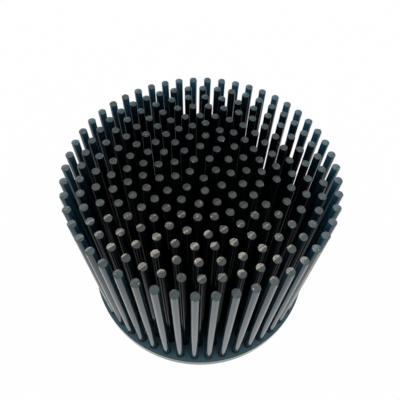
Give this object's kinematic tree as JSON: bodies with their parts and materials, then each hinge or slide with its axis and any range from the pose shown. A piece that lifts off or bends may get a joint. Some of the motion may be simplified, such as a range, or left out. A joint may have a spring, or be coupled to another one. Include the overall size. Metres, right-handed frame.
{
  "type": "pin fin heat sink",
  "caption": "Round black heat sink forged in one piece: a flat disc base carries concentric rings of straight round pins that shed heat to the air.",
  "frame": {"origin": "centre of the flat underside of the base plate", "axes": "+Z along the pins, away from the base; +Y along the ray on which every ring has a pin"},
  "size_m": [0.111, 0.111, 0.08],
  "materials": {
    "black_anodised": "black anodised, satin"
  },
  "bodies": {
    "root": {"pin_fin_heat_sink": "black_anodised"}
  },
  "joints": []
}
